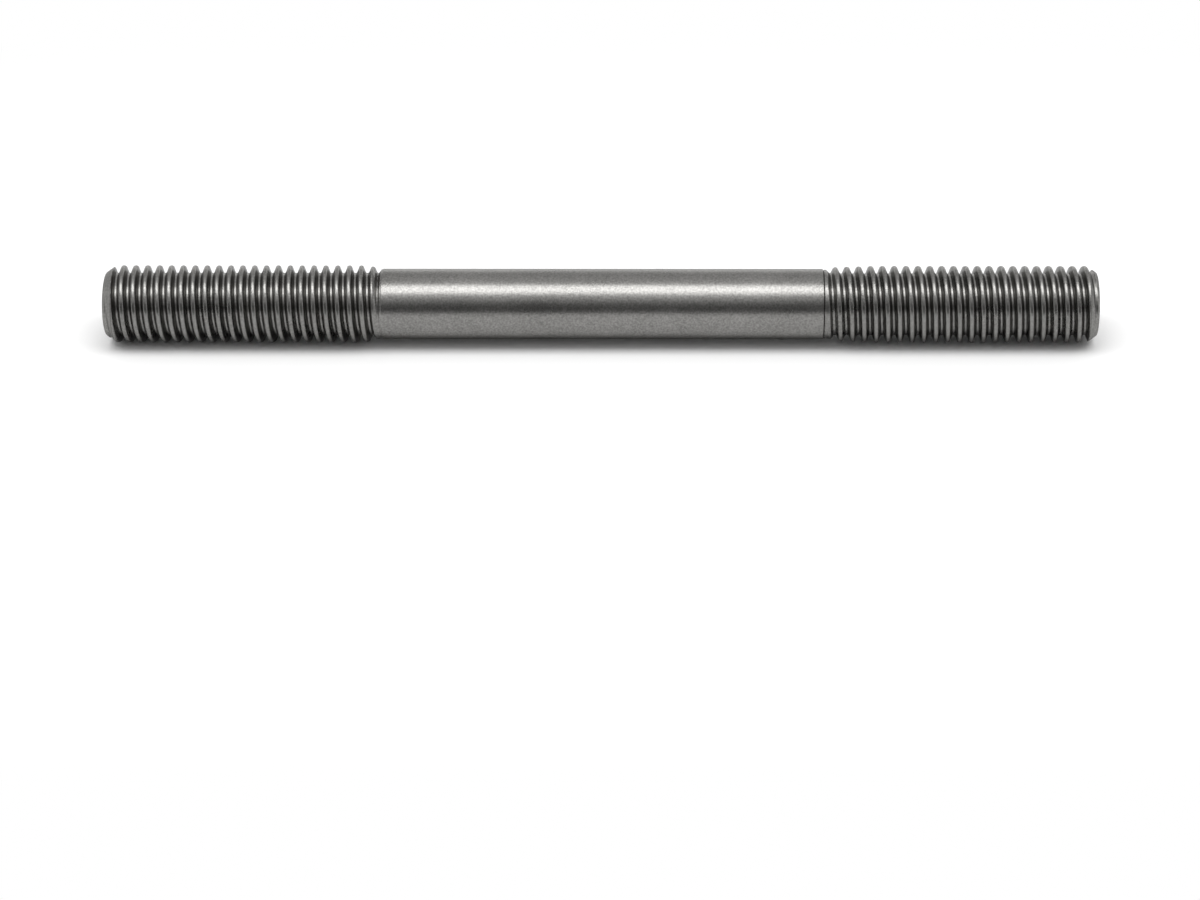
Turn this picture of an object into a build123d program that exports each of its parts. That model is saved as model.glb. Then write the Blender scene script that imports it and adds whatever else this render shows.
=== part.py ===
from build123d import *
import os
from dataclasses import dataclass
from math import ceil, floor, radians, tan

# Double ended stud, M10 x 1.5, thread rolled on both ends of one steel bar.
# Lengths are in millimetres and angles in degrees. The axis lies along X with the middle of the
# length at the origin, so the stud lies flat with +Z up. Both threads are right-handed.

# Lengths along the axis
overall_length = 125.0
left_thread_length = 35.0
right_thread_length = 35.0

# ISO metric thread. The flanks run from a crest line to a root line on the basic minor diameter.
major_diameter = 10.0
pitch = 1.5
depth_per_pitch = 0.54127       # basic thread depth, five eighths of the sharp triangle
pitch_line_per_pitch = 0.64952  # major diameter less pitch diameter
# A root of each thread's helix, carried on inwards, crosses the top of the stud this far out from
# the middle of the length.
left_root_line = 0.98
right_root_line = 0.34

# Pointed ends
point_diameter = 7.80
point_angle = 37.0              # between the point's slope and the axis

# Margins for buried and trimming faces
core_margin = 0.30              # how far buried faces lie under the root
crest_clearance = 0.05          # how far trimming faces stay off a full crest

major_radius = major_diameter / 2
root_radius = major_radius - depth_per_pitch * pitch
shank_radius = (major_diameter - pitch_line_per_pitch * pitch) / 2  # rolling blank = pitch diameter
point_radius = point_diameter / 2
half_length = overall_length / 2


@dataclass
class RunOut:
    """How a thread fades into the shank. Distances run outwards from the end of the shank."""

    lip_length: float        # soft edge at the end of the full shank
    lip_drop: float          # fall of that edge below the shank
    shoulder_length: float   # from the shank's end to where the shoulder dives under the root
    crest_start: float       # where the first crest stands up
    first_crest_drop: float  # how far that crest stays below the major diameter
    fill_length: float       # where the crests reach the major diameter


left_run_out = RunOut(0.12, 0.03, 0.50, 0.80, 0.43, 2.80)
right_run_out = RunOut(0.33, 0.045, 1.40, 1.90, 0.28, 9.00)


def thread_line(position, radius):
    """One turn of a right-handed helix that starts at the top of the stud at this X."""
    helix = Helix(pitch, pitch, radius, direction=(1, 0, 0), mode=Mode.PRIVATE)
    return (Pos(position, 0, 0) * helix).edge()


def screw_end_faces(position):
    """The ramp and the step that close one end of a screw whose root line starts at this X."""
    axis_line = Edge.make_line((position, 0, 0), (position + pitch, 0, 0))
    ramp = Face.make_surface_from_curves(thread_line(position, root_radius), axis_line)
    corners = [
        (position, 0, 0),
        (position, 0, root_radius),
        (position + pitch / 2, 0, major_radius),
        (position + pitch, 0, root_radius),
        (position + pitch, 0, 0),
    ]
    step = Face(Wire.make_polygon(corners, close=True))
    return [ramp, step]


def screw(low, high, root_line):
    """A screw along X that covers low to high, with its thread drawn to a line at crest and root."""
    first = root_line + pitch * (floor((low - root_line) / pitch) - 1)
    turns = ceil((high - first) / pitch)
    faces = screw_end_faces(first) + screw_end_faces(first + turns * pitch)
    for turn in range(turns):
        start = first + turn * pitch
        near_root = thread_line(start, root_radius)
        crest = thread_line(start + pitch / 2, major_radius)
        far_root = thread_line(start + pitch, root_radius)
        faces.append(Face.make_surface_from_curves(near_root, crest))
        faces.append(Face.make_surface_from_curves(crest, far_root))
    return Solid(Shell(faces))


def threaded_end(thread_length, run_out, root_line):
    """One threaded end, drawn in place and pointing along +X."""
    shank_end = half_length - thread_length
    trim_radius = major_radius + crest_clearance
    point_start = half_length - (trim_radius - point_radius) / tan(radians(point_angle))
    with BuildPart() as end:
        add(screw(shank_end, half_length, root_line))
        with BuildSketch(Plane.XY):
            with BuildLine():
                Polyline(
                    (shank_end, 0),
                    (shank_end, root_radius - core_margin),
                    (shank_end + run_out.crest_start, major_radius - run_out.first_crest_drop),
                    (shank_end + run_out.fill_length, trim_radius),
                    (point_start, trim_radius),
                    (half_length, point_radius),
                    (half_length, 0),
                    close=True,
                )
            make_face()
        revolve(axis=Axis.X, mode=Mode.INTERSECT)
    return end.part


def shank_profile_end(thread_length, run_out, side):
    """The shank's end as profile points, from the full shank outwards. side is 1 right, -1 left."""
    shank_end = half_length - thread_length
    return [
        (side * shank_end, shank_radius),
        (side * (shank_end + run_out.lip_length), shank_radius - run_out.lip_drop),
        (side * (shank_end + run_out.shoulder_length), root_radius - core_margin / 3),
        (side * (shank_end + run_out.shoulder_length), 0),
    ]


right_end = threaded_end(right_thread_length, right_run_out, right_root_line)
left_end = threaded_end(left_thread_length, left_run_out, left_root_line)

with BuildPart() as stud:
    with BuildSketch(Plane.XY):
        with BuildLine():
            left_points = shank_profile_end(left_thread_length, left_run_out, -1)
            right_points = shank_profile_end(right_thread_length, right_run_out, 1)
            Polyline(*reversed(left_points), *right_points, close=True)
        make_face()
    revolve(axis=Axis.X)
    add(right_end)
    add(left_end, rotation=(0, 0, 180))

stud.part.label = "stud"
os.makedirs("parts", exist_ok=True)
export_step(stud.part, "parts/stud.step")
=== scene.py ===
"""Double ended stud in bare rolled steel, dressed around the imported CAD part.

Sizes are in millimetres unless a name says otherwise, and the axis of the stud lies along X.
"""

import logging
from dataclasses import dataclass, field
from enum import Enum
from math import cos, pi, radians, sin, sqrt, tan

import bmesh
import bpy
from mathutils import Matrix, Vector

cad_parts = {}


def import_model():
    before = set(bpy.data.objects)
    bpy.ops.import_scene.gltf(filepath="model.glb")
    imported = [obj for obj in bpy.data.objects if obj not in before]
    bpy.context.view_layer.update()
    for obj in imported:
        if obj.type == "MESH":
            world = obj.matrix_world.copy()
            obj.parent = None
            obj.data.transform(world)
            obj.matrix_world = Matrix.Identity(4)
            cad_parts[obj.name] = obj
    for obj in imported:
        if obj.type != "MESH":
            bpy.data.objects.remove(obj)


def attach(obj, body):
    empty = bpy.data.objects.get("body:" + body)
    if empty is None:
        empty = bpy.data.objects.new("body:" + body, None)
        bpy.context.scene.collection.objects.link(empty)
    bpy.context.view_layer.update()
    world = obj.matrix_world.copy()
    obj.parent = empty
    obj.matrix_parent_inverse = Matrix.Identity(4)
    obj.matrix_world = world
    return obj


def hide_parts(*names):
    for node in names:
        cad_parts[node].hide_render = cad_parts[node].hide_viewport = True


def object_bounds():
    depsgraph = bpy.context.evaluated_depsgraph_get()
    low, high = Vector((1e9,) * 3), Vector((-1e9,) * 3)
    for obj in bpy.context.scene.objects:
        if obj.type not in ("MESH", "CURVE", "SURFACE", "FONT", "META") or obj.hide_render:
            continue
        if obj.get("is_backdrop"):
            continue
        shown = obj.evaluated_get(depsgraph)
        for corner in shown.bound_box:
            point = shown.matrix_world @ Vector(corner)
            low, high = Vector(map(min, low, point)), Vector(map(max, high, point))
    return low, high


MM = 0.001
WHITE = (1.0, 1.0, 1.0, 1.0)
BLACK = (0.0, 0.0, 0.0, 1.0)
LOG = logging.getLogger("stud")


# ---------------------------------------------------------------------------------------------
# Node tree helpers
# ---------------------------------------------------------------------------------------------


class Value:
    """A number or field in a node tree that ordinary arithmetic can be written with."""

    def __init__(self, tree: bpy.types.NodeTree, socket: bpy.types.NodeSocket) -> None:
        """Wrap an output socket of a tree.

        Args:
            tree: The tree.
            socket: The output socket.
        """
        self.tree = tree
        self.socket = socket

    def math(self, operation: str, *others: "Value | float") -> "Value":
        """Pass this value and others through one Math node.

        Args:
            operation: Blender's name of the operation.
            others: Further operands, as values or plain numbers.

        Returns:
            The node's result.
        """
        node = self.tree.nodes.new("ShaderNodeMath")
        node.operation = operation
        for slot, operand in zip(node.inputs, (self, *others)):
            feed(self.tree, slot, operand)
        return Value(self.tree, node.outputs[0])

    def __add__(self, other: "Value | float") -> "Value":
        """Add."""
        return self.math("ADD", other)

    def __radd__(self, other: float) -> "Value":
        """Add to a plain number."""
        return self.math("ADD", other)

    def __sub__(self, other: "Value | float") -> "Value":
        """Subtract."""
        return self.math("SUBTRACT", other)

    def __rsub__(self, other: float) -> "Value":
        """Subtract from a plain number."""
        return self.math("MULTIPLY", -1.0) + other

    def __mul__(self, other: "Value | float") -> "Value":
        """Multiply."""
        return self.math("MULTIPLY", other)

    def __rmul__(self, other: float) -> "Value":
        """Multiply a plain number."""
        return self.math("MULTIPLY", other)

    def __truediv__(self, other: "Value | float") -> "Value":
        """Divide."""
        return self.math("DIVIDE", other)

    def floor(self) -> "Value":
        """Round down to a whole number."""
        return self.math("FLOOR")

    def at_most(self, other: "Value | float") -> "Value":
        """The smaller of this and another value."""
        return self.math("MINIMUM", other)

    def at_least(self, other: "Value | float") -> "Value":
        """The larger of this and another value."""
        return self.math("MAXIMUM", other)

    def pick(self, choices: "list[Value]") -> "Value":
        """Take the choice whose number this value is.

        Args:
            choices: Values, counted from 0.

        Returns:
            The chosen value.
        """
        node = self.tree.nodes.new("GeometryNodeIndexSwitch")
        node.data_type = "FLOAT"
        while len(node.index_switch_items) < len(choices):
            node.index_switch_items.new()
        feed(self.tree, node.inputs["Index"], self)
        for number, choice in enumerate(choices):
            feed(self.tree, node.inputs[str(number)], choice)
        return Value(self.tree, node.outputs[0])

    def ramp(self, low: "Value | float", high: "Value | float", smooth: bool = False) -> "Value":
        """Rise from 0 at low to 1 at high, and stay level outside them.

        Args:
            low: Where the rise starts.
            high: Where it ends.
            smooth: Whether it eases in and out.

        Returns:
            The share risen.
        """
        node = self.tree.nodes.new("ShaderNodeMapRange")
        node.interpolation_type = "SMOOTHSTEP" if smooth else "LINEAR"
        for name, operand in (("Value", self), ("From Min", low), ("From Max", high)):
            feed(self.tree, node.inputs[name], operand)
        return Value(self.tree, node.outputs["Result"])


def feed(tree: bpy.types.NodeTree, slot: bpy.types.NodeSocket, operand: object) -> None:
    """Link a value to an input socket, or set the socket to a plain number.

    Args:
        tree: The tree that the socket is in.
        slot: The input socket.
        operand: A value, an output socket or a plain number.
    """
    if isinstance(operand, Value):
        tree.links.new(operand.socket, slot)
    elif isinstance(operand, bpy.types.NodeSocket):
        tree.links.new(operand, slot)
    else:
        slot.default_value = operand


def add_node(tree: bpy.types.NodeTree, kind: str, inputs: dict | None = None,
             **settings: object) -> bpy.types.Node:
    """Add a node, set its properties and feed its inputs.

    Args:
        tree: The tree it goes in.
        kind: Blender's name of the node type.
        inputs: Input names or numbers, each with its value, link or number.
        settings: Node properties.

    Returns:
        The new node.
    """
    node = tree.nodes.new(kind)
    for name, setting in settings.items():
        setattr(node, name, setting)
    for name, operand in (inputs or {}).items():
        feed(tree, node.inputs[name], operand)
    return node


class NamedSizes:
    """The sizes of a node tree, each a named input of the tree that reads as a value."""

    def __init__(self, tree: bpy.types.NodeTree, names: list[str]) -> None:
        """Give the tree one input for each name.

        Args:
            tree: The tree.
            names: The inputs' names.
        """
        for name in names:
            tree.interface.new_socket(name, in_out="INPUT", socket_type="NodeSocketFloat")
        self.tree = tree
        self.node = add_node(tree, "NodeGroupInput")

    def __getitem__(self, name: str) -> Value:
        """Read one size.

        Args:
            name: Its name.

        Returns:
            The size as a value.
        """
        return Value(self.tree, self.node.outputs[name])


# ---------------------------------------------------------------------------------------------
# The stud
# ---------------------------------------------------------------------------------------------


@dataclass(frozen=True)
class RunOut:
    """How a thread fades into the shank. Distances run outwards from the end of the shank."""

    lip_start: float           # where the full shank ends
    lip_end: float             # where it has dropped to the neck, and the middle of the scratch
    lip_drop: float            # how far the neck lies below the shank
    lip_scratch: float         # depth of the fine scratch round the lip
    groove_start: float        # where the thread groove begins
    groove_full: float         # where it has its full share of the depth
    crest_start: float         # where the first crest begins to stand up
    first_crest: float         # where it is
    first_crest_radius: float
    crest_full: float          # where the crests reach the major radius


class ThreadForm(Enum):
    """Named thread run-outs of the two ends."""

    LONG_FADE = RunOut(0.40, 0.50, 0.10, 0.10, 0.68, 1.50, 1.15, 2.05, 4.68, 7.00)
    SHORT_FADE = RunOut(0.05, 0.15, 0.04, 0.03, 0.15, 0.70, 0.65, 1.45, 4.74, 2.95)


@dataclass
class RolledThread:
    """The section of a rolled thread: low round crests and roots joined by steep flanks."""

    pitch: float = 1.5
    crest_round: float = 0.38
    crest_half_width: float = 0.25
    root_round: float = 0.30
    root_half_width: float = 0.175
    flank_angle: float = 68.0

    def flank_width(self) -> float:
        """Work out the width of one flank.

        Returns:
            The width along the axis.
        """
        return self.pitch / 2 - self.crest_half_width - self.root_half_width

    def depth(self) -> float:
        """Work out the depth of the thread.

        Returns:
            The depth from crest to root.
        """
        crest_fall = self.crest_round - sqrt(self.crest_round ** 2 - self.crest_half_width ** 2)
        root_rise = self.root_round - sqrt(self.root_round ** 2 - self.root_half_width ** 2)
        return crest_fall + self.flank_width() * tan(radians(self.flank_angle)) + root_rise


@dataclass
class StudEnd:
    """One half of the stud: half the shank, a run-out, a thread, a point and an end face.

    It is made pointing along +X. Near its end the groove keeps only a share of its depth.
    """

    name: str
    half_length: float
    major_radius: float
    run_out: RunOut
    crest_line: float
    turned_round: bool = False
    thread_length: float = 35.0
    shank_radius: float = 4.455
    point_radius: float = 4.00
    point_angle: float = 35.0
    last_groove_share: float = 0.70  # share of the groove's depth at the end face
    last_groove: float = 0.60        # how far from the end face that share reaches
    full_groove: float = 1.50        # how far from the end face the groove is at full depth
    edge_round: float = 0.22
    run_out_zone: float = 3.0
    point_zone: float = 2.0
    thread: RolledThread = field(default_factory=RolledThread)

    SEGMENTS = 120                            # faces round the axis
    ROUND_ROWS = (-1.0, -0.5, 0.0, 0.5, 1.0)  # rows over a crest or root, in half widths
    FLANK_ROWS = (0.1, 0.9)                   # rows on a flank, in flank widths
    FINE_ROW = 0.05                           # spacing of the rows at the run-out and point
    SHANK_ROWS = 6
    EDGE_ROWS = 4
    WELD = 0.002
    SPARE_TURNS = 4                           # turns laid out beyond the thread, then drawn in
    ROW_MARGIN = 0.001                        # keeps a whole row number from rounding down

    def edge_turn(self) -> float:
        """Work out how far the round on the end face's edge turns.

        Returns:
            The angle in radians.
        """
        return radians(90.0 - self.point_angle)

    def sizes(self) -> dict[str, float]:
        """List the named inputs of the node tree.

        Returns:
            Each input's name with its value.
        """
        out = self.run_out
        thread = self.thread
        return {
            "Half Length": self.half_length,
            "Shank End": self.half_length - self.thread_length,
            "Shank Radius": self.shank_radius,
            "Lip Start": out.lip_start,
            "Lip End": out.lip_end,
            "Lip Drop": out.lip_drop,
            "Lip Scratch": out.lip_scratch,
            "Groove Start": out.groove_start,
            "Groove Full": out.groove_full,
            "Crest Start": out.crest_start,
            "First Crest": out.first_crest,
            "First Crest Radius": out.first_crest_radius,
            "Crest Full": out.crest_full,
            "Major Radius": self.major_radius,
            "Pitch": thread.pitch,
            "Crest Line": self.crest_line,
            "Thread Depth": thread.depth(),
            "Crest Round": thread.crest_round,
            "Crest Half Width": thread.crest_half_width,
            "Root Round": thread.root_round,
            "Root Half Width": thread.root_half_width,
            "Flank Width": thread.flank_width(),
            "Flank Slope": tan(radians(thread.flank_angle)),
            "Point Radius": self.point_radius,
            "Point Slope": tan(radians(self.point_angle)),
            "Last Groove Share": self.last_groove_share,
            "Last Groove": self.last_groove,
            "Full Groove": self.full_groove,
            "Edge Round": self.edge_round,
            "Edge Turn": self.edge_turn(),
            "Half Turns": float(self.turned_round),
            "Scale": MM,
        }

    def radius(self, size: NamedSizes, x: Value, turn: Value) -> Value:
        """The surface's distance from the axis.

        Args:
            size: The tree's sizes.
            x: Place along the axis.
            turn: Place round the axis, in turns from the top.

        Returns:
            The radius there.
        """
        s = x - size["Shank End"]
        neck = size["Shank Radius"] - size["Lip Drop"]
        first = size["First Crest Radius"]
        lip_width = size["Lip End"] - size["Lip Start"]
        scratch = (1.0 - (s - size["Lip End"]).math("ABSOLUTE") / lip_width).at_least(0.0)
        envelope = (size["Shank Radius"]
                    - size["Lip Drop"] * s.ramp(size["Lip Start"], size["Lip End"])
                    - size["Lip Scratch"] * scratch
                    + (first - neck) * s.ramp(size["Crest Start"], size["First Crest"], True)
                    + (size["Major Radius"] - first)
                    * s.ramp(size["First Crest"], size["Crest Full"]))
        from_end = size["Half Length"] - x
        share = size["Last Groove Share"]
        deepening = from_end.ramp(size["Last Groove"], size["Full Groove"], True)
        groove = (s.ramp(size["Groove Start"], size["Groove Full"], True)
                  * (share + (1.0 - share) * deepening))
        half_pitch = size["Pitch"] * 0.5
        crest_half, root_half = size["Crest Half Width"], size["Root Half Width"]
        crest_round, root_round = size["Crest Round"], size["Root Round"]
        off_crest = (x - size["Crest Line"] - turn * size["Pitch"]).math("PINGPONG", half_pitch)
        crest = off_crest.at_most(crest_half)
        flank = (off_crest - crest_half).at_least(0.0).at_most(size["Flank Width"])
        root = (half_pitch - off_crest).at_most(root_half)
        fall = (crest_round - (crest_round * crest_round - crest * crest).math("SQRT")
                + flank * size["Flank Slope"]
                + (root_round * root_round - root * root).math("SQRT")
                - (root_round * root_round - root_half * root_half).math("SQRT"))
        root_radius = size["Major Radius"] - size["Thread Depth"]
        cut = (envelope - root_radius) * fall / size["Thread Depth"] * groove
        point = size["Point Radius"] + from_end * size["Point Slope"]
        return (envelope - cut).at_most(point)

    def sheet(self, tree: bpy.types.NodeTree, rows: int) -> tuple[bpy.types.Node, Value, Value]:
        """Lay out a flat sheet to be wrapped round the axis.

        Args:
            tree: The tree it goes in.
            rows: Number of rows along the axis.

        Returns:
            The sheet's node, the row number and the place round the axis in turns.
        """
        grid = add_node(tree, "GeometryNodeMeshGrid",
                        {"Size X": 1.0, "Size Y": float(rows), "Vertices X": self.SEGMENTS + 1,
                         "Vertices Y": rows + 1})
        place = add_node(tree, "GeometryNodeInputPosition")
        split = add_node(tree, "ShaderNodeSeparateXYZ", {0: place.outputs[0]})
        turn = Value(tree, split.outputs["X"]) + 0.5
        row = (Value(tree, split.outputs["Y"]) + rows / 2).math("ROUND")
        return grid, row, turn

    def wrap(self, tree: bpy.types.NodeTree, grid: bpy.types.Node, x: Value, radius: Value,
             turn: Value) -> bpy.types.NodeSocket:
        """Wrap a sheet round the axis.

        Args:
            tree: The tree it goes in.
            grid: The flat sheet.
            x: Place along the axis.
            radius: Distance from the axis.
            turn: Place round the axis, in turns from the top.

        Returns:
            The wrapped geometry.
        """
        angle = turn * (2 * pi)
        y = radius * angle.math("SINE") * -1.0
        z = radius * angle.math("COSINE")
        place = add_node(tree, "ShaderNodeCombineXYZ", {"X": x, "Y": y, "Z": z})
        moved = add_node(tree, "GeometryNodeSetPosition",
                         {"Geometry": grid.outputs["Mesh"], "Position": place.outputs[0]})
        return moved.outputs[0]

    def plain_zone(self, size: NamedSizes, start: "Value | float", end: Value,
                   rows: int) -> bpy.types.NodeSocket:
        """A stretch with evenly spaced rings.

        Args:
            size: The tree's sizes.
            start: Where the stretch starts along the axis.
            end: Where it ends.
            rows: Number of rows along the axis.

        Returns:
            The stretch's geometry.
        """
        grid, row, turn = self.sheet(size.tree, rows)
        share = row / rows
        x = share * end + (1.0 - share) * start
        return self.wrap(size.tree, grid, x, self.radius(size, x, turn), turn)

    def thread_zone(self, size: NamedSizes, start: Value, end: Value) -> bpy.types.NodeSocket:
        """A stretch whose rows follow the crests and roots of the thread.

        Args:
            size: The tree's sizes.
            start: Where the stretch starts along the axis.
            end: Where it ends.

        Returns:
            The stretch's geometry.
        """
        length = self.thread_length - self.run_out_zone - self.point_zone
        turns = int(length // self.thread.pitch) + self.SPARE_TURNS
        crest_half, root_half = size["Crest Half Width"], size["Root Half Width"]
        flank, half_pitch = size["Flank Width"], size["Pitch"] * 0.5
        offsets = [crest_half * share for share in self.ROUND_ROWS]
        offsets += [crest_half + flank * share for share in self.FLANK_ROWS]
        offsets += [half_pitch + root_half * share for share in self.ROUND_ROWS]
        offsets += [half_pitch + root_half + flank * share for share in self.FLANK_ROWS]
        grid, row, turn = self.sheet(size.tree, turns * len(offsets))
        pitch_number = (row / len(offsets) + self.ROW_MARGIN).floor()
        in_pitch = (row - pitch_number * len(offsets)).math("ROUND")
        offset = in_pitch.pick(offsets)
        first_turn = ((start - size["Crest Line"]) / size["Pitch"]).floor() - 1.0
        x = (pitch_number + turn + first_turn) * size["Pitch"] + offset + size["Crest Line"]
        x = x.at_least(start).at_most(end)
        return self.wrap(size.tree, grid, x, self.radius(size, x, turn), turn)

    def end_face(self, size: NamedSizes) -> bpy.types.NodeSocket:
        """Make the flat end face and the small round on its edge, both cut by the thread.

        Args:
            size: The tree's sizes.

        Returns:
            The end's geometry.
        """
        grid, row, turn = self.sheet(size.tree, self.EDGE_ROWS + 1)
        angle = (size["Edge Turn"] * (1.0 - row / self.EDGE_ROWS)).at_least(0.0)
        flat = row.math("LESS_THAN", self.EDGE_ROWS + 0.5)
        edge_round = size["Edge Round"]
        face_radius = size["Point Radius"] - edge_round * (size["Edge Turn"] * 0.5).math("TANGENT")
        x = size["Half Length"] - edge_round * (1.0 - angle.math("COSINE"))
        rounded = angle.math("SINE") * edge_round + face_radius
        radius = rounded.at_most(self.radius(size, x, turn)) * flat
        return self.wrap(size.tree, grid, x, radius, turn)

    def grow(self, steel: bpy.types.Material) -> bpy.types.Mesh:
        """Make the mesh of this half by geometry nodes.

        Args:
            steel: The material it gets.

        Returns:
            The finished mesh, in metres.
        """
        tree = bpy.data.node_groups.new(f"{self.name}_nodes", "GeometryNodeTree")
        tree.interface.new_socket("Steel", in_out="INPUT", socket_type="NodeSocketMaterial")
        tree.interface.new_socket("Geometry", in_out="OUTPUT", socket_type="NodeSocketGeometry")
        sizes = self.sizes()
        size = NamedSizes(tree, list(sizes))
        shank_end = size["Shank End"]
        thread_start = shank_end + self.run_out_zone
        thread_end = size["Half Length"] - self.point_zone
        edge_width = size["Edge Round"] * (1.0 - size["Edge Turn"].math("COSINE"))
        edge_start = size["Half Length"] - edge_width
        run_out_rows = round(self.run_out_zone / self.FINE_ROW)
        point_rows = round(self.point_zone / self.FINE_ROW)
        parts = [
            self.plain_zone(size, 0.0, shank_end, self.SHANK_ROWS),
            self.plain_zone(size, shank_end, thread_start, run_out_rows),
            self.thread_zone(size, thread_start, thread_end),
            self.plain_zone(size, thread_end, edge_start, point_rows),
            self.end_face(size),
        ]
        join = add_node(tree, "GeometryNodeJoinGeometry")
        for part in parts:
            tree.links.new(part, join.inputs[0])
        weld = add_node(tree, "GeometryNodeMergeByDistance",
                        {"Geometry": join.outputs[0], "Distance": self.WELD})
        rotation = add_node(tree, "ShaderNodeCombineXYZ", {"Z": size["Half Turns"] * pi})
        scale = add_node(tree, "ShaderNodeCombineXYZ", dict.fromkeys("XYZ", size["Scale"]))
        placed = add_node(tree, "GeometryNodeTransform",
                          {"Geometry": weld.outputs[0], "Rotation": rotation.outputs[0],
                           "Scale": scale.outputs[0]})
        smooth = add_node(tree, "GeometryNodeSetShadeSmooth", {"Geometry": placed.outputs[0]})
        real = add_node(tree, "GeometryNodeRealizeInstances", {"Geometry": smooth.outputs[0]})
        dressed = add_node(tree, "GeometryNodeSetMaterial",
                           {"Geometry": real.outputs[0], "Material": size.node.outputs["Steel"]})
        add_node(tree, "NodeGroupOutput", {0: dressed.outputs[0]})
        return evaluate(tree, {**sizes, "Steel": steel})


def evaluate(tree: bpy.types.NodeTree, settings: dict[str, object]) -> bpy.types.Mesh:
    """Run a geometry node tree and keep its result as a plain mesh.

    Args:
        tree: The tree.
        settings: Value for each of its inputs, by name.

    Returns:
        A new mesh that depends on no modifier.
    """
    carrier = bpy.data.objects.new("carrier", bpy.data.meshes.new("carrier"))
    bpy.context.collection.objects.link(carrier)
    modifier = carrier.modifiers.new("shape", "NODES")
    modifier.node_group = tree
    for item in tree.interface.items_tree:
        if item.in_out == "INPUT":
            modifier[item.identifier] = settings[item.name]
    graph = bpy.context.evaluated_depsgraph_get()
    mesh = bpy.data.meshes.new_from_object(carrier.evaluated_get(graph))
    bpy.data.objects.remove(carrier)
    return mesh


@dataclass
class Stud:
    """The whole stud: two halves that meet in the middle of the shank."""

    length: float
    right_major_radius: float = 4.84
    left_major_radius: float = 4.875
    right_crest_line: float = 1.09
    left_crest_line: float = 0.23
    weld: float = 0.002
    sharp_angle: float = 50.0

    def halves(self) -> list[StudEnd]:
        """List the halves of the stud.

        Returns:
            The right and the left half.
        """
        half = self.length / 2
        return [
            StudEnd("right_half", half, self.right_major_radius, ThreadForm.LONG_FADE.value,
                    self.right_crest_line),
            StudEnd("left_half", half, self.left_major_radius, ThreadForm.SHORT_FADE.value,
                    self.left_crest_line, turned_round=True),
        ]

    def build(self, steel: "BareSteel") -> bpy.types.Object:
        """Make the stud as one closed mesh.

        Args:
            steel: Its finish.

        Returns:
            The finished object.
        """
        halves = self.halves()
        material = steel.material(halves[0])
        shape = bmesh.new()
        for half in halves:
            shape.from_mesh(half.grow(material))
        bmesh.ops.remove_doubles(shape, verts=shape.verts, dist=self.weld * MM)
        bmesh.ops.triangulate(shape, faces=[face for face in shape.faces if len(face.verts) > 4])
        mesh = bpy.data.meshes.new("rolled_stud")
        shape.to_mesh(mesh)
        open_edges = sum(1 for edge in shape.edges if len(edge.link_faces) != 2)
        shape.free()
        mesh.materials.clear()
        mesh.materials.append(material)
        mesh.set_sharp_from_angle(angle=radians(self.sharp_angle))
        piece = bpy.data.objects.new("rolled_stud", mesh)
        bpy.context.collection.objects.link(piece)
        mesh.calc_loop_triangles()
        LOG.info("rolled_stud: %d triangles, %d open edges", len(mesh.loop_triangles), open_edges)
        return piece


# ---------------------------------------------------------------------------------------------
# Finishes
# ---------------------------------------------------------------------------------------------


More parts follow.
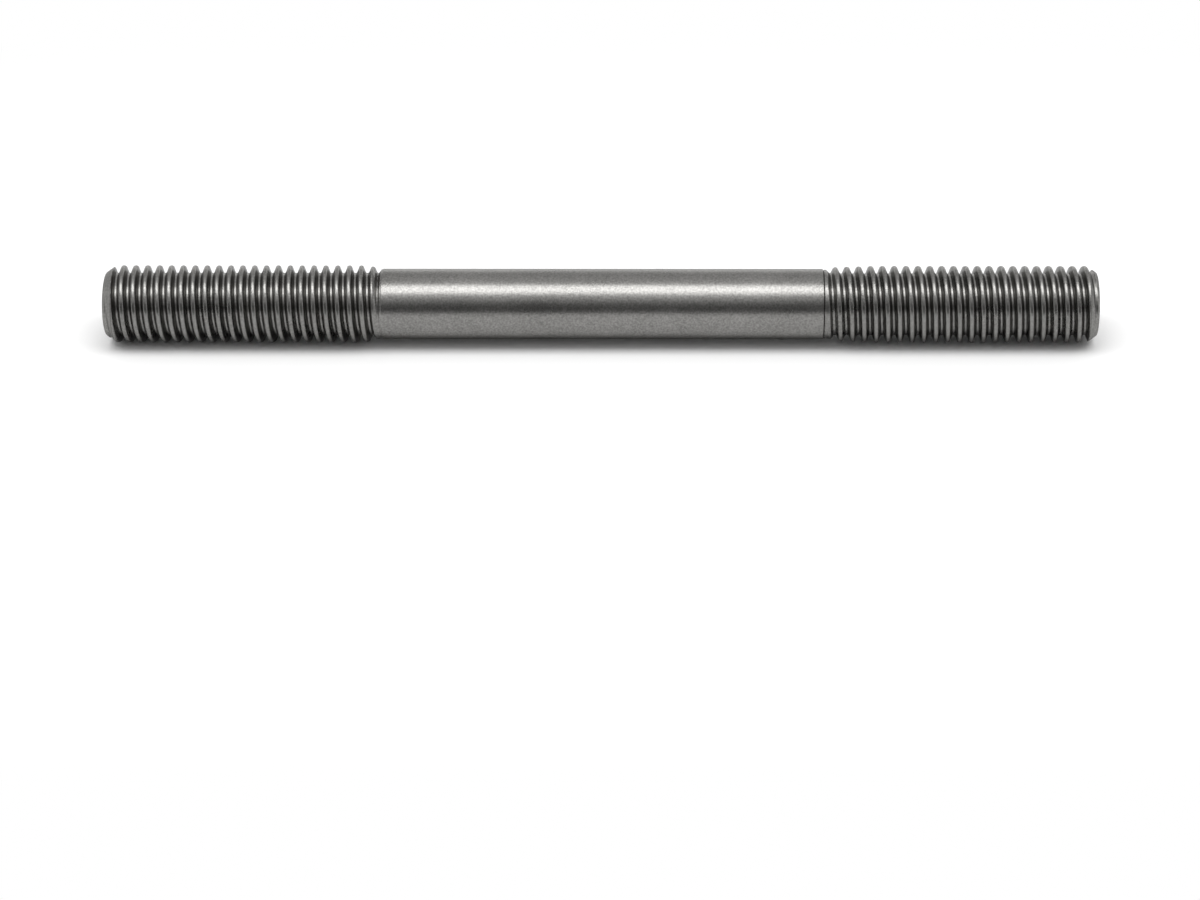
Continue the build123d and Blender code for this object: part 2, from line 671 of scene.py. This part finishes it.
@dataclass(frozen=True)
class BareSteel:
    """Bare dark-grey steel with a fine grain, and turning marks on the points and end faces."""

    tone: float = 0.205
    warmth: tuple[float, float, float] = (1.022, 1.007, 0.971)
    edge_tint: float = 0.65
    grain_spread: float = 0.21
    cloud_spread: float = 0.075
    roughness: float = 0.28
    roughness_spread: float = 0.06
    grain_per_metre: float = 4000.0
    grain_detail: float = 1.0
    cloud_per_metre: float = 160.0
    cloud_detail: float = 3.0
    noise_roughness: float = 0.5
    grain_height: float = 0.000008   # metres
    turned_tone: float = 0.02
    turned_roughness: float = 0.20
    turned_band: float = 0.00003     # metres over which rolled steel gives way to turned
    mark_spread: float = 0.24
    marks_per_metre: float = 7000.0
    mark_detail: float = 2.0
    mark_roughness: float = 0.6

    def material(self, half: StudEnd) -> bpy.types.Material:
        """Make the material: rolled all over, with turning marks on the points and end faces.

        Args:
            half: Either half of the stud, for the place and slope of its point.

        Returns:
            The steel.
        """
        steel = bpy.data.materials.new("bare_steel")
        steel.use_nodes = True
        tree = steel.node_tree
        shader = tree.nodes["Principled BSDF"]
        place = add_node(tree, "ShaderNodeTexCoord").outputs["Object"]
        grain = add_node(tree, "ShaderNodeTexNoise",
                         {"Vector": place, "Scale": self.grain_per_metre,
                          "Detail": self.grain_detail, "Roughness": self.noise_roughness})
        cloud = add_node(tree, "ShaderNodeTexNoise",
                         {"Vector": place, "Scale": self.cloud_per_metre,
                          "Detail": self.cloud_detail, "Roughness": self.noise_roughness})
        grain_value = Value(tree, grain.outputs["Fac"]) - 0.5
        cloud_value = Value(tree, cloud.outputs["Fac"]) - 0.5
        split = add_node(tree, "ShaderNodeSeparateXYZ", {0: place})
        across, up = Value(tree, split.outputs["Y"]), Value(tree, split.outputs["Z"])
        radius = (across * across + up * up).math("SQRT")
        from_end = half.half_length * MM - Value(tree, split.outputs["X"]).math("ABSOLUTE")
        point = half.point_radius * MM + from_end * tan(radians(half.point_angle))
        below = (point - radius).at_most(from_end)
        turned = 1.0 - below.ramp(self.turned_band, 2.0 * self.turned_band)
        marks = add_node(tree, "ShaderNodeTexNoise",
                         {"W": radius * self.marks_per_metre, "Scale": 1.0,
                          "Detail": self.mark_detail, "Roughness": self.mark_roughness},
                         noise_dimensions="1D")
        mark_value = (Value(tree, marks.outputs["Fac"]) - 0.5) * self.mark_spread + self.turned_tone
        tone = (grain_value * self.grain_spread + cloud_value * self.cloud_spread + self.tone
                + mark_value * turned)
        colour = add_node(tree, "ShaderNodeCombineColor",
                          {channel: tone * share
                           for channel, share in zip(("Red", "Green", "Blue"), self.warmth)})
        roughness = (cloud_value * self.roughness_spread + self.roughness
                     + self.turned_roughness * turned)
        bump = add_node(tree, "ShaderNodeBump",
                        {"Strength": 1.0, "Distance": self.grain_height,
                         "Height": grain.outputs["Fac"]})
        shader.inputs["Metallic"].default_value = 1.0
        shader.inputs["Specular Tint"].default_value = (self.edge_tint,) * 3 + (1.0,)
        feed(tree, shader.inputs["Base Color"], colour.outputs[0])
        feed(tree, shader.inputs["Roughness"], roughness)
        feed(tree, shader.inputs["Normal"], bump.outputs[0])
        return steel


@dataclass(frozen=True)
class WhitePaper:
    """White paper that stays white away from the stud and keeps its shadow near it."""

    paper_tone: float = 0.82
    edge_from: float = 0.045  # metres from the stud where the paper begins to turn plain white
    edge_to: float = 0.090    # metres from the stud where it is plain white

    def material(self, half_length: float) -> bpy.types.Material:
        """Make the material.

        Args:
            half_length: Half the stud's length, in metres.

        Returns:
            The paper.
        """
        paper = bpy.data.materials.new("white_paper")
        paper.use_nodes = True
        tree = paper.node_tree
        tree.nodes.remove(tree.nodes["Principled BSDF"])
        output = tree.nodes["Material Output"]
        white = add_node(tree, "ShaderNodeEmission", {"Color": WHITE, "Strength": 1.0})
        place = add_node(tree, "ShaderNodeTexCoord").outputs["Object"]
        split = add_node(tree, "ShaderNodeSeparateXYZ", {0: place})
        along = (Value(tree, split.outputs["X"]).math("ABSOLUTE") - half_length).at_least(0.0)
        across = Value(tree, split.outputs["Y"])
        distance = (along * along + across * across).math("SQRT")
        away = distance.ramp(self.edge_from, self.edge_to, True)
        lit = add_node(tree, "ShaderNodeBsdfDiffuse", {"Color": (self.paper_tone,) * 3 + (1.0,)})
        ray = add_node(tree, "ShaderNodeLightPath")
        seen = Value(tree, ray.outputs["Is Camera Ray"])
        for kind in ("Is Glossy Ray", "Is Transmission Ray"):
            seen = seen.at_least(Value(tree, ray.outputs[kind]))
        mix = add_node(tree, "ShaderNodeMixShader",
                       {0: away * seen, 1: lit.outputs[0], 2: white.outputs[0]})
        feed(tree, output.inputs["Surface"], mix.outputs[0])
        return paper


# ---------------------------------------------------------------------------------------------
# Studio
# ---------------------------------------------------------------------------------------------


@dataclass
class Studio:
    """Floor, overhead softbox, grey room and camera. Lengths are in metres, angles in degrees.

    The room's tones run over the top from the camera's side at 0 to the far side at 1. Towards
    the ends of the stud the room is dimmed, and a pale card stands beyond each end.
    """

    floor_half_width: float = 3.0
    softbox_height: float = 0.40
    softbox_length: float = 0.70
    softbox_width: float = 0.22
    softbox_elevation: float = 77.0
    softbox_power: float = 1.72
    room_tones: tuple = ((0.0, 0.085), (0.15, 0.17), (0.24, 0.64), (0.33, 1.22), (0.42, 1.27),
                         (0.55, 0.97), (0.66, 0.86), (0.80, 0.73), (0.90, 1.12), (1.0, 2.55))
    side_from: float = 0.35
    side_to: float = 0.80
    side_dimming: float = 0.50
    card_from: float = 0.78
    card_to: float = 0.90
    card_tone: float = 0.95
    camera_distance: float = 0.400
    camera_right: float = 0.010
    camera_elevation: float = 30.0
    camera_roll: float = 0.03
    view_width: float = 0.151745            # what the frame spans where the stud lies
    stud_above_middle: float = 0.018462     # of the frame
    stud_right_of_middle: float = 0.000215
    sensor_width: float = 36.0  # millimetres
    clip_start: float = 0.01
    clip_end: float = 100.0

    def floor(self, level: float, half_length: float, paper: WhitePaper) -> bpy.types.Object:
        """Lay the paper that the stud lies on.

        Args:
            level: Height of the floor, in metres.
            half_length: Half the stud's length, in metres.
            paper: Its finish.

        Returns:
            The floor.
        """
        half = self.floor_half_width
        corners = [(-half, -half, level), (half, -half, level),
                   (half, half, level), (-half, half, level)]
        mesh = bpy.data.meshes.new("paper_floor")
        mesh.from_pydata(corners, [], [(0, 1, 2, 3)])
        mesh.materials.append(paper.material(half_length))
        floor = bpy.data.objects.new("paper_floor", mesh)
        bpy.context.collection.objects.link(floor)
        floor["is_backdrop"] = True
        return floor

    def softbox(self) -> bpy.types.Object:
        """Hang the long softbox over the stud.

        Returns:
            The lamp.
        """
        lamp = bpy.data.lights.new("softbox", "AREA")
        lamp.shape = "RECTANGLE"
        lamp.size = self.softbox_length
        lamp.size_y = self.softbox_width
        lamp.energy = self.softbox_power
        softbox = bpy.data.objects.new("softbox", lamp)
        lean = radians(90.0 - self.softbox_elevation)
        softbox.location = (0.0, -self.softbox_height * tan(lean), self.softbox_height)
        softbox.rotation_euler = (-lean, 0.0, 0.0)
        bpy.context.collection.objects.link(softbox)
        return softbox

    def room(self) -> bpy.types.World:
        """Make the grey room that the steel mirrors. The camera sees it as plain white.

        Returns:
            The world.
        """
        world = bpy.data.worlds.new("grey_room")
        world.use_nodes = True
        tree = world.node_tree
        background = tree.nodes["Background"]
        place = add_node(tree, "ShaderNodeTexCoord").outputs["Generated"]
        split = add_node(tree, "ShaderNodeSeparateXYZ", {0: place})
        back = Value(tree, split.outputs["Y"])
        up = Value(tree, split.outputs["Z"]).at_least(0.0)
        elevation = up.math("ARCTAN2", back * -1.0) / pi
        ramp = add_node(tree, "ShaderNodeValToRGB", {"Fac": elevation})
        elements = ramp.color_ramp.elements
        while len(elements) < len(self.room_tones):
            elements.new(0.5)
        for element, (place_on_ramp, tone) in zip(elements, self.room_tones):
            element.position = place_on_ramp
            element.color = (tone, tone, tone, 1.0)
        side = Value(tree, split.outputs["X"]).math("ABSOLUTE")
        aside = side.ramp(self.side_from, self.side_to, True)
        dimmed = add_node(tree, "ShaderNodeMixRGB",
                          {0: aside * self.side_dimming, 1: ramp.outputs[0], 2: BLACK})
        cards = add_node(tree, "ShaderNodeMixRGB",
                         {0: side.ramp(self.card_from, self.card_to, True), 1: dimmed.outputs[0],
                          2: (self.card_tone,) * 3 + (1.0,)})
        seen = add_node(tree, "ShaderNodeLightPath").outputs["Is Camera Ray"]
        mix = add_node(tree, "ShaderNodeMixRGB", {0: seen, 1: cards.outputs[0], 2: WHITE})
        feed(tree, background.inputs["Color"], mix.outputs[0])
        background.inputs["Strength"].default_value = 1.0
        bpy.context.scene.world = world
        return world

    def camera(self) -> bpy.types.Object:
        """Set the camera on its stand in front of the stud and slide its frame onto the stud.

        Returns:
            The camera.
        """
        lens = bpy.data.cameras.new("camera")
        camera = bpy.data.objects.new("camera", lens)
        bpy.context.collection.objects.link(camera)
        elevation = radians(self.camera_elevation)
        place = Vector((self.camera_right, -self.camera_distance * cos(elevation),
                        self.camera_distance * sin(elevation)))
        facing = (Matrix.Rotation(pi / 2 - elevation, 3, "X")
                  @ Matrix.Rotation(radians(self.camera_roll), 3, "Z"))
        middle = facing.transposed() @ -place
        lens.sensor_width = self.sensor_width
        lens.lens = self.sensor_width * -middle.z / self.view_width
        lens.shift_x = (middle.x - self.stud_right_of_middle) / self.view_width
        lens.shift_y = (middle.y - self.stud_above_middle) / self.view_width
        lens.clip_start = self.clip_start
        lens.clip_end = self.clip_end
        camera.location = place
        camera.rotation_euler = facing.to_euler()
        bpy.context.scene.camera = camera
        return camera


def main() -> None:
    """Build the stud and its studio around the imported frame."""
    logging.basicConfig(level=logging.INFO, format="%(name)s: %(message)s")
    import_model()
    cad_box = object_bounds()
    low, high = (Vector(corner) for corner in cad_box)
    stud = Stud(length=(high.x - low.x) / MM)
    piece = stud.build(BareSteel())
    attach(piece, "root")
    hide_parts("stud")
    studio = Studio()
    studio.floor(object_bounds()[0][2], high.x, WhitePaper())
    studio.softbox()
    studio.room()
    studio.camera()
    bpy.context.scene.view_settings.view_transform = "Standard"


if __name__ == "__main__":
    main()
